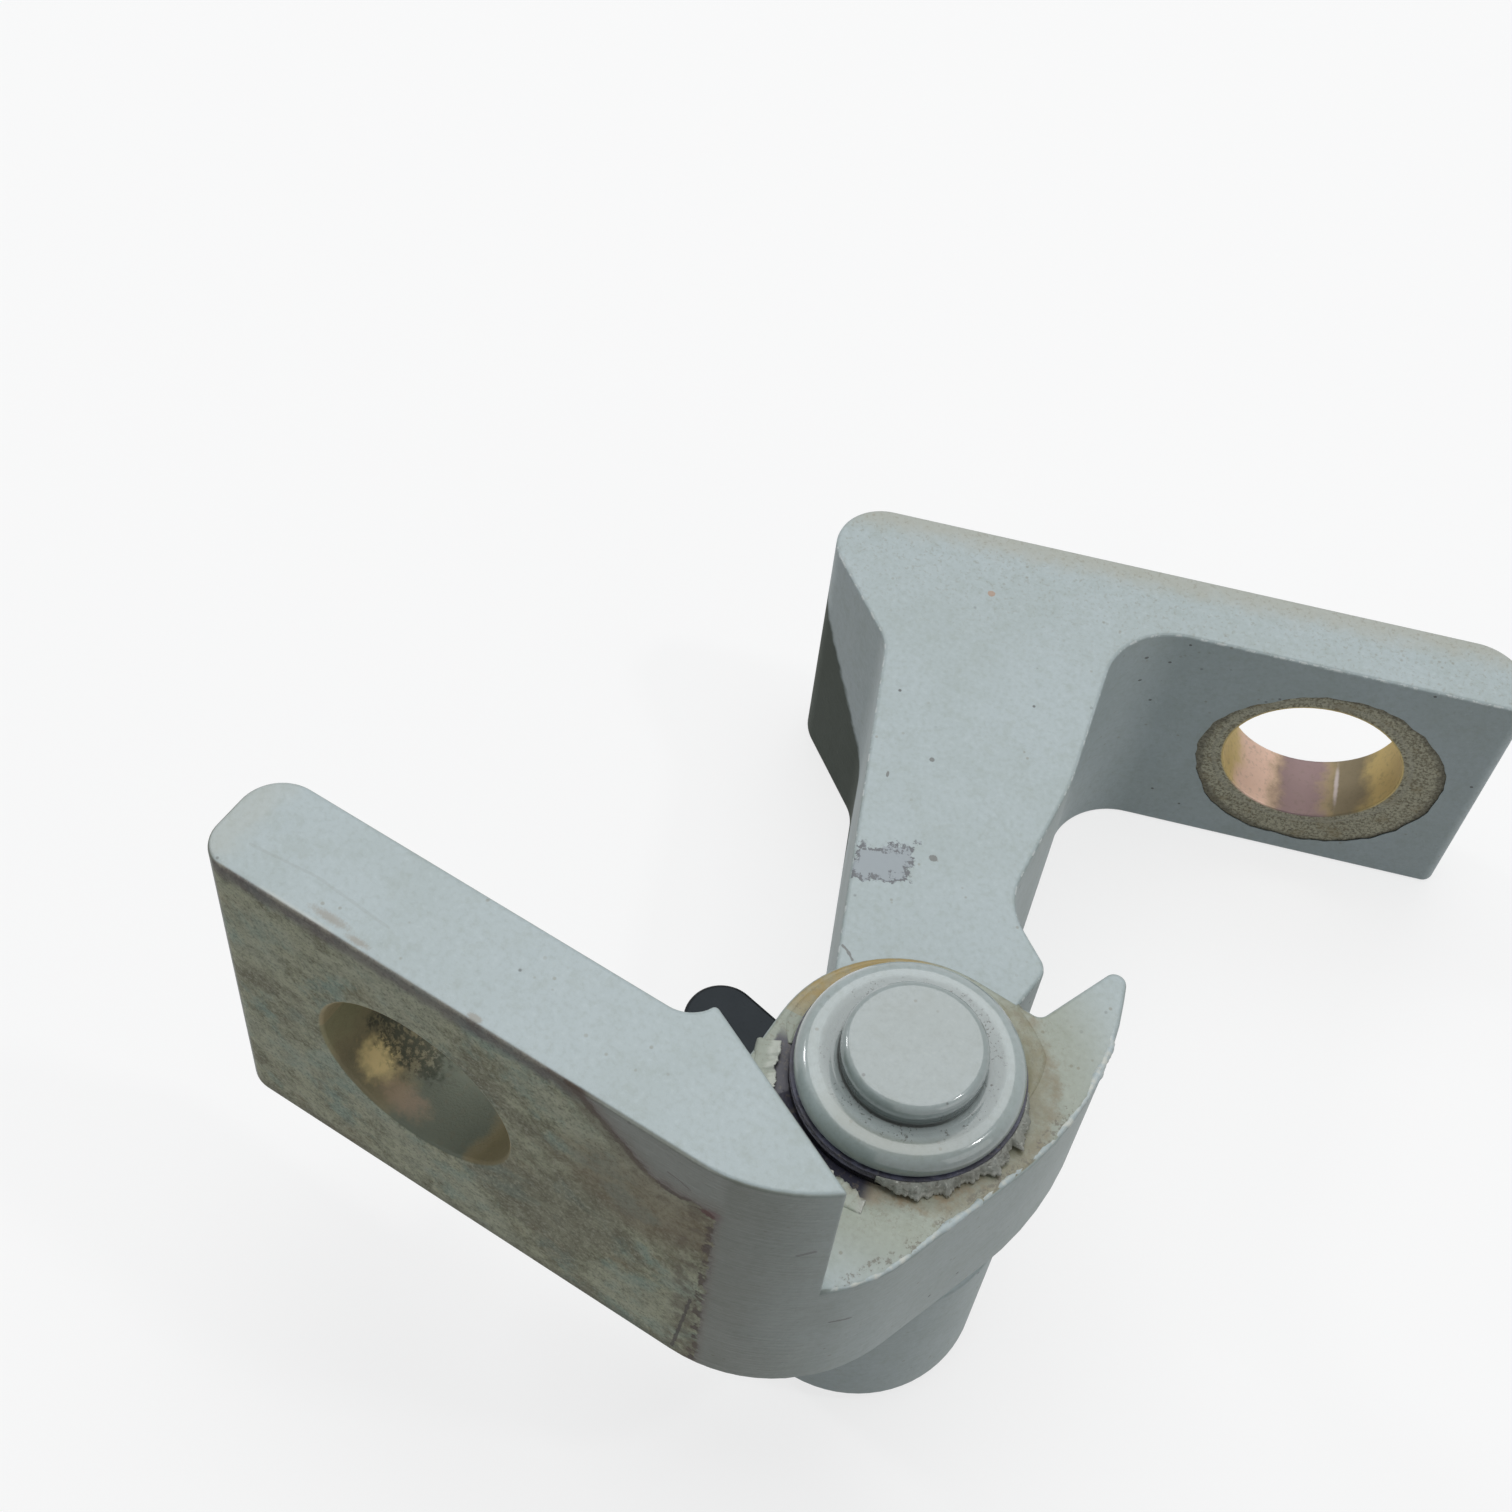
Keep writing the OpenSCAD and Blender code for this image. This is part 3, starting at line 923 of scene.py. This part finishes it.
def turned_finish(name):
    """Glossy paint, dirty where the head sits on the washer, with painted shade at the head's
    foot, on the washer's front and under its rim.
    """
    recipe = Recipe(name)
    x, y, z = recipe.xyz()
    radius = far_from(x, y, (0.0, 0.0))
    angle = turn_about(x, y)
    # Painted shade: the turned parts take the paint slightly darker, and the head's top darker
    # still, to offset the light their glossy coat catches.
    colour = recipe.tint(1.0, painted_colour(recipe), "#E9EAE8")
    colour = recipe.tint(z.above(40.2, 40.9), colour, "#E8E9E8")
    torn = (recipe.grain(0.8, 4.0, 0.65, seed=30.0) - 0.5) * 0.5
    low = z.below(WASHER_TOP_MM + 0.05, WASHER_TOP_MM + 0.5)
    groove = (radius + torn * 0.7).between(HEAD_R - 0.1, SEAT_R + 0.15, 0.22) * low
    colour = recipe.mix(groove * 0.6, colour, "#959C9B")
    crowded = recipe.grain(1.6, 3.0, 0.6, seed=30.7).above(0.46, 0.58)
    specks = recipe.grain(0.22, 3.0, 0.7, seed=30.5).above(0.56, 0.63) * groove * crowded
    colour = recipe.mix(specks * 0.75, colour, "#403D37")
    # A dark joint at the head's foot, with painted shade added at its front.
    foot = (radius + torn * 0.3).between(HEAD_R - 0.06, HEAD_R + 0.09, 0.05) * low
    ahead = angle.between(-176.0, -30.0, 20.0)
    colour = recipe.mix(foot * (0.2 + ahead * 0.5), colour, "#3A3732")
    cream = (radius + torn).between(6.2, 7.2, 0.3) * low * angle.between(-120.0, -40.0, 25.0)
    colour = recipe.mix(cream * 0.3, colour, "#9C9F8E")
    # Painted shade: the washer's front, outside the head, is darkened.
    front_shade = angle.between(-115.0, -10.0, 20.0) * (radius + torn).above(5.9, 6.4) * low
    colour = recipe.tint(front_shade, colour, "#DDDEDB")
    # Painted shadow under the washer's rim.
    under = z.below(WASHER_FOOT_MM + 0.06, WASHER_FOOT_MM + 0.3) * z.above(36.5, 36.9)
    colour = recipe.mix(under * 0.5, colour, "#77705F")
    height = paint_height(recipe) * 0.5 + groove * recipe.grain(0.3, 3.0, 0.7, seed=31.5)
    shine = 0.17 + groove * 0.4 + recipe.grain(2.0, 3.0, seed=32.0) * 0.08
    return recipe.finish(colour, shine, height, 0.035, coat=0.8)


# %% Pin and washer: shapes


def add_turned_pieces():
    pin = lathe([(0.0, 0.0, 0), (PIN_R - 0.6, 0.0, 0.2), (PIN_R, 0.6, 0.2), (PIN_R, SEAT_MM, 0),
                 (HEAD_R, SEAT_MM, 0), (HEAD_R, HEAD_TOP_MM - 0.06, 0.64), (3.0, HEAD_TOP_MM, 0),
                 (0.0, HEAD_TOP_MM, 0)], closed=False)
    add_piece("hinge_pin_piece", pin, "door_side",
              turned_finish("pin_finish"), "hinge_pin")
    ring = lathe([(PIN_R, WASHER_FOOT_MM, 0), (WASHER_R, WASHER_FOOT_MM, 0.36),
                  (WASHER_R, WASHER_TOP_MM, 1.15), (SEAT_R + 0.15, WASHER_TOP_MM, 0.3),
                  (SEAT_R - 0.7, SEAT_MM, 0.3), (PIN_R, SEAT_MM, 0)], closed=True)
    add_piece("head_washer_piece", ring, "door_side",
              turned_finish("washer_finish"), "head_washer")


add_turned_pieces()

# %% [markdown]
# ## The bushes
# Two flanged bushes line the body leaf's knuckle. Only the upper one's flange shows, as a dark
# navy crescent where the paint has broken away. The solids' round faces are fine enough here.

# %% Bushes


def bush_finish(name):
    recipe = Recipe(name)
    cloud = recipe.grain(0.9, 4.0, 0.6, seed=33.0)
    colour = recipe.mix(cloud.above(0.4, 0.62), "#2A2A38", "#45475A")
    scraped = recipe.grain(0.5, 4.0, 0.7, seed=33.5).above(0.6, 0.68)
    colour = recipe.mix(scraped * 0.5, colour, "#777268")
    return recipe.finish(colour, 0.42, recipe.grain(0.35, 3.0, seed=34.0), 0.03)


for bush in ("upper_bush", "lower_bush"):
    add_piece(bush + "_piece", joined_copy(bush), "body_side",
              bush_finish(bush + "_finish"), bush)

# %% [markdown]
# ## Torn paint round the washer
# The car was painted with the hinge closed up, so one skin of paint covered the washer, the
# bush's flange and the knuckle. The first swing of the door tore it. What is left is a skirt
# that climbs the flange on the right, and broken curled edges on the left. It is a thin sheet
# over a ring of angles, whose inner edge and height change with the angle.

# %% Torn paint: its shape
FILM_STEPS = 540
FILM_ROWS = 9
FILM_THICK_MM = 0.1
FILM_INNER_R, FILM_OUTER_R = 8.24, 10.4
FILM_TOP_MM = 37.12
TORN_FROM, TORN_TO, SKIRT_TO = -164.0, -76.0, 24.0


def ragged_walk(seed, count, low, high, step):
    """Numbers that wander between two limits, with sudden jumps as in a tear."""
    luck = random.Random(seed)
    value, values = (low + high) / 2, []
    for _ in range(count):
        jump = step * 6 if luck.random() < 0.06 else step
        value = min(high, max(low, value + luck.uniform(-jump, jump)))
        values.append(value)
    return values


def film_row(angle, tear, curl, crumple):
    """Points (radius, height) from the sheet's inner edge to its outer edge."""
    torn = TORN_FROM < angle < TORN_TO
    skirt = TORN_TO <= angle < SKIRT_TO
    outer = 9.55 if angle > 70 or angle < TORN_FROM else FILM_OUTER_R
    rising = (angle - SKIRT_TO) / 20.0 if angle > 0 else (TORN_FROM - angle) / 12.0
    outer = 8.5 + (outer - 8.5) * min(1.0, max(0.0, rising))
    points = []
    for row in range(FILM_ROWS):
        part = row / (FILM_ROWS - 1)
        if torn:
            radius = tear + (10.7 - tear) * part
            height = KNUCKLE_TOP_MM + 0.1 + curl * (1 - part) ** 2.5
        elif skirt:
            ends = min(1.0, (angle - TORN_TO) / 30.0 + 0.1, (SKIRT_TO - angle) / 40.0 + 0.1)
            flare = (0.1 + max(0.0, tear - 8.85) * 1.5) * ends + 0.05 * crumple
            radius = FILM_INNER_R + flare * part
            drop = (0.4 + 0.85 * part - curl * 0.7 * part) * (0.45 + 0.55 * ends)
            height = FILM_TOP_MM + (0.07 * crumple - drop) * part
        else:
            radius = FILM_INNER_R + (outer - FILM_INNER_R) * part ** 1.6
            height = KNUCKLE_TOP_MM + 0.06 + 1.2 * (1 - part) ** 5 + 0.05 * crumple * (1 - part)
        if row == FILM_ROWS - 1 and not skirt:
            height = KNUCKLE_TOP_MM - 0.12
        points.append((radius, height))
    return points


def film_angle(step):
    return -180.0 + 360.0 * step / FILM_STEPS


def torn_here(step):
    """Whether the sheet changes its course, and so is torn apart, after this step."""
    here, there = film_angle(step), film_angle((step + 1) % FILM_STEPS)
    return any(here < limit <= there or here <= limit < there
               for limit in (TORN_FROM, TORN_TO, SKIRT_TO))


def torn_sheet():
    tears = ragged_walk(11, FILM_STEPS, 8.9, 10.2, 0.14)
    curls = ragged_walk(12, FILM_STEPS, 0.05, 0.55, 0.09)
    crumples = ragged_walk(13, FILM_STEPS, -1.0, 1.0, 0.22)
    work = bmesh.new()
    rows = []
    for step in range(FILM_STEPS):
        angle = film_angle(step)
        cos, sin = math.cos(math.radians(angle)), math.sin(math.radians(angle))
        rows.append([work.verts.new((r * cos * MM, r * sin * MM, z * MM))
                     for r, z in film_row(angle, tears[step], curls[step], crumples[step])])
    for step in range(FILM_STEPS):
        nearby = (step + 1) % FILM_STEPS
        if torn_here(step):
            continue
        for row in range(FILM_ROWS - 1):
            work.faces.new([rows[step][row], rows[step][row + 1],
                            rows[nearby][row + 1], rows[nearby][row]])
    return work


# %% Torn paint: its finish


def film_finish(name):
    """Paint with whitish broken edges, grey and brown where dirt and rust ran over it."""
    recipe = Recipe(name)
    x, y, z = recipe.xyz()
    angle = turn_about(x, y)
    colour = knuckle_top_colour(recipe, x, y, painted_colour(recipe), stripped_share=0.0)
    crumpled = angle.between(TORN_TO - 2.0, SKIRT_TO, 2.0)
    folds = recipe.grain(0.7, 4.0, 0.7, seed=35.0, warp=1.5)
    colour = recipe.mix(crumpled * 0.75, colour, "#8E918C")
    colour = recipe.mix(crumpled * folds.above(0.55, 0.66) * 0.6, colour, "#4C463D")
    colour = recipe.mix(crumpled * folds.below(0.36, 0.44) * 0.7, colour, "#C6C7C0")
    brink = crumpled * z.below(36.25, 36.55) * folds.above(0.4, 0.5)
    colour = recipe.mix(brink * 0.6, colour, "#CFCFC7")
    lifted = z.above(KNUCKLE_TOP_MM + 0.14, KNUCKLE_TOP_MM + 0.3)
    torn = angle.between(TORN_FROM - 2.0, TORN_TO, 2.0)
    colour = recipe.mix(lifted * torn * 0.65, colour, "#CACEC5")
    height = paint_height(recipe) + folds * crumpled * 2.5
    return recipe.finish(colour, 0.42, height, 0.06)


def add_torn_paint():
    film = add_piece("torn_paint", torn_sheet(), "body_side",
                     film_finish("torn_paint_finish"))
    thick = film.modifiers.new("thick", "SOLIDIFY")
    thick.thickness = FILM_THICK_MM * MM
    thick.offset = -1.0


add_torn_paint()

# %% [markdown]
# ## The burr along the knuckle's front edge
# The saw left a burr on the front edge of the knuckle, and paint and wear made it a whitish,
# uneven bead. A tube with a changing radius is drawn along the edge and half sunk in it.

# %% Burr
BURR_PATH = [(3.3, -16.4), (4.7, -14.9), (5.9, -13.1), (6.7, -11.1), (9.8, -2.2), (10.4, -0.2),
             (10.9, 1.9), (11.2, 6.1), (10.8, 10.4), (9.7, 14.5)]
BURR_SIDES = 10


def even_points(path, spacing):
    """Points at even distances along a path of corners."""
    points, spare = [Vector(path[0])], 0.0
    for start, stop in zip(path, path[1:]):
        start, stop = Vector(start), Vector(stop)
        length = (stop - start).length
        place = spacing - spare
        while place < length:
            points.append(start.lerp(stop, place / length))
            place += spacing
        spare = length - (place - spacing)
    return points


def burr_bead():
    points = even_points(BURR_PATH, 0.22)
    swell = ragged_walk(21, len(points), 0.1, 0.27, 0.035)
    drift = ragged_walk(22, len(points), -0.05, 0.07, 0.02)
    work = bmesh.new()
    rings = []
    for index, point in enumerate(points):
        ahead = points[min(index + 1, len(points) - 1)] - points[max(index - 1, 0)]
        inward = Vector((-ahead.y, ahead.x)).normalized()
        size = swell[index] * min(1.0, index / 6, (len(points) - 1 - index) / 20) + 0.02
        centre = point + inward * (0.26 - drift[index])
        ring = []
        for side in range(BURR_SIDES):
            turn = 2 * math.pi * side / BURR_SIDES
            flat = centre + inward * size * 1.25 * math.cos(turn)
            level = KNUCKLE_TOP_MM - 0.16 + size * math.sin(turn)
            ring.append(work.verts.new((flat.x * MM, flat.y * MM, level * MM)))
        rings.append(ring)
    for first, second in zip(rings, rings[1:]):
        for side in range(BURR_SIDES):
            nearby = (side + 1) % BURR_SIDES
            work.faces.new([first[side], first[nearby], second[nearby], second[side]])
    work.faces.new(rings[0])
    work.faces.new(rings[-1])
    return work


def burr_finish(name):
    recipe = Recipe(name)
    worn = recipe.grain(1.2, 4.0, 0.65, seed=36.0)
    colour = recipe.mix(worn.above(0.42, 0.62), painted_colour(recipe), "#C3C6BE")
    colour = recipe.mix(worn.below(0.32, 0.4) * 0.6, colour, "#827A68")
    return recipe.finish(colour, 0.4, paint_height(recipe), 0.04)


add_piece("knuckle_burr", burr_bead(), "body_side", burr_finish("burr_finish"))

# %% [markdown]
# ## Floor, light and world
# The hinge stands on a plain pale floor, under a wide soft panel and a second soft panel from
# the right, because in the photograph the walls to the right are brighter than those in front.
# Two small lamps make the bright dots on head and washer. The floor and the room look white
# to the camera and to mirrors, but light the part only a little, so its paint keeps its colour.

# %% Floor and room
WHITE = "#F8F8F8"
ROOM_COLOUR = (0.92, 0.96, 1.0, 1.0)
ROOM_LIGHT = 0.28
FLOOR_HALF_M = 3.0
FLOOR_GAP_MM = 0.02


def seen_ray(node):
    """1 for the rays of the camera, of reflections and of glass."""
    path = node("ShaderNodeLightPath", take="Is Camera Ray")
    outputs = path.socket.node.outputs
    mirrored = Wire(path.recipe, outputs["Is Glossy Ray"])
    through = Wire(path.recipe, outputs["Is Transmission Ray"])
    return path.highest(mirrored).highest(through)


def pale_floor():
    recipe = Recipe("pale_floor")
    own_light = recipe.node("ShaderNodeEmission", None, {"Color": WHITE, "Strength": 0.78})
    lit = recipe.node("ShaderNodeBsdfDiffuse", None, {"Color": (0.24, 0.24, 0.24, 1.0)})
    seen = recipe.node("ShaderNodeAddShader", None, {0: own_light, 1: lit})
    bounce = recipe.node("ShaderNodeBsdfDiffuse", None, {"Color": (0.27, 0.27, 0.265, 1.0)})
    parts = {0: seen_ray(recipe.node), 1: bounce, 2: seen}
    return recipe.close(recipe.node("ShaderNodeMixShader", None, parts))


def add_floor():
    work = bmesh.new()
    bmesh.ops.create_grid(work, x_segments=2, y_segments=2, size=FLOOR_HALF_M)
    floor = loose_object("floor", work)
    floor.data.materials.append(pale_floor())
    floor.location.z = cad_box[0][2] - FLOOR_GAP_MM * MM
    print("floor at", round(floor.location.z / MM, 3), "mm")


def add_world():
    recipe = Recipe("room_nodes")
    world = bpy.data.worlds.new("room")
    world.use_nodes = True
    recipe.tree = world.node_tree
    recipe.tree.nodes.clear()
    dim = {"Color": ROOM_COLOUR, "Strength": ROOM_LIGHT}
    room = recipe.node("ShaderNodeBackground", None, dim)
    seen = recipe.node("ShaderNodeBackground", None, {"Color": WHITE, "Strength": 1.0})
    parts = {0: seen_ray(recipe.node), 1: room, 2: seen}
    recipe.close(recipe.node("ShaderNodeMixShader", None, parts), "ShaderNodeOutputWorld")
    bpy.data.materials.remove(recipe.material)
    bpy.context.scene.world = world


add_floor()
add_world()

# %% Lamps
MIDDLE = Vector((0.0, 0.02, 0.03))


def add_panel(name, direction, distance, size, watts):
    """A soft lamp that faces the part from a direction."""
    lamp = bpy.data.lights.new(name, "AREA")
    lamp.shape = "RECTANGLE"
    lamp.size, lamp.size_y = size
    lamp.energy = watts
    holder = bpy.data.objects.new(name, lamp)
    toward = Vector(direction).normalized()
    holder.location = MIDDLE + toward * distance
    holder.rotation_euler = (-toward).to_track_quat("-Z", "Y").to_euler()
    bpy.context.scene.collection.objects.link(holder)
    print(name, [round(value, 2) for value in holder.location])


add_panel("overhead", (-0.12, 0.20, 0.72), 0.76, (0.7, 0.7), 3.35)
add_panel("right_side", (0.925, -0.163, 0.34), 0.8, (0.5, 0.5), 0.75)
add_panel("left_glint", (-0.795, 0.02, 0.606), 0.9, (0.12, 0.12), 0.9)
add_panel("right_glint", (0.509, 0.171, 0.844), 0.9, (0.07, 0.07), 0.8)
bpy.context.scene.view_settings.view_transform = "Standard"
